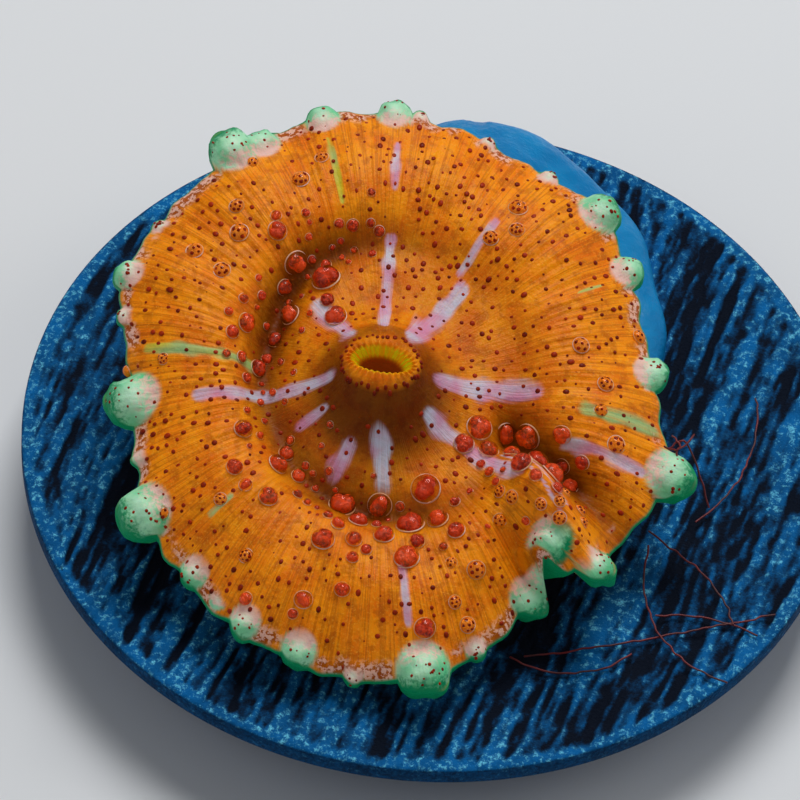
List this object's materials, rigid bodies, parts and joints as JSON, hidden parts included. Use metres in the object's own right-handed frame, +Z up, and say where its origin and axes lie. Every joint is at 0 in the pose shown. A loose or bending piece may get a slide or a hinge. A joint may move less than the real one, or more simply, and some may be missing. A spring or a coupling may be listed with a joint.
{
  "type": "mushroom coral on a frag disc",
  "caption": "Soft mushroom coral polyp with a raised mouth, bladders and a knobbed, wavy rim, glued to a round scored ceramic disc that rests flat.",
  "frame": {"origin": "middle of the disc's flat underside", "axes": "+Z up out of the disc, -Y towards the side the polyp leans to, +X to the right seen from that side"},
  "size_m": [0.032, 0.032, 0.0125],
  "materials": {
    "polyp_tissue": "soft translucent orange tissue with red bladders, pale stripes and green rim knobs",
    "cured_glue": "smooth cured gel glue, bright blue, slightly glossy",
    "disc_ceramic": "matt scored ceramic, navy with azure ridges"
  },
  "bodies": {
    "root": {"polyp": "polyp_tissue", "glue_pad": "cured_glue", "frag_disc": "disc_ceramic"}
  },
  "joints": []
}
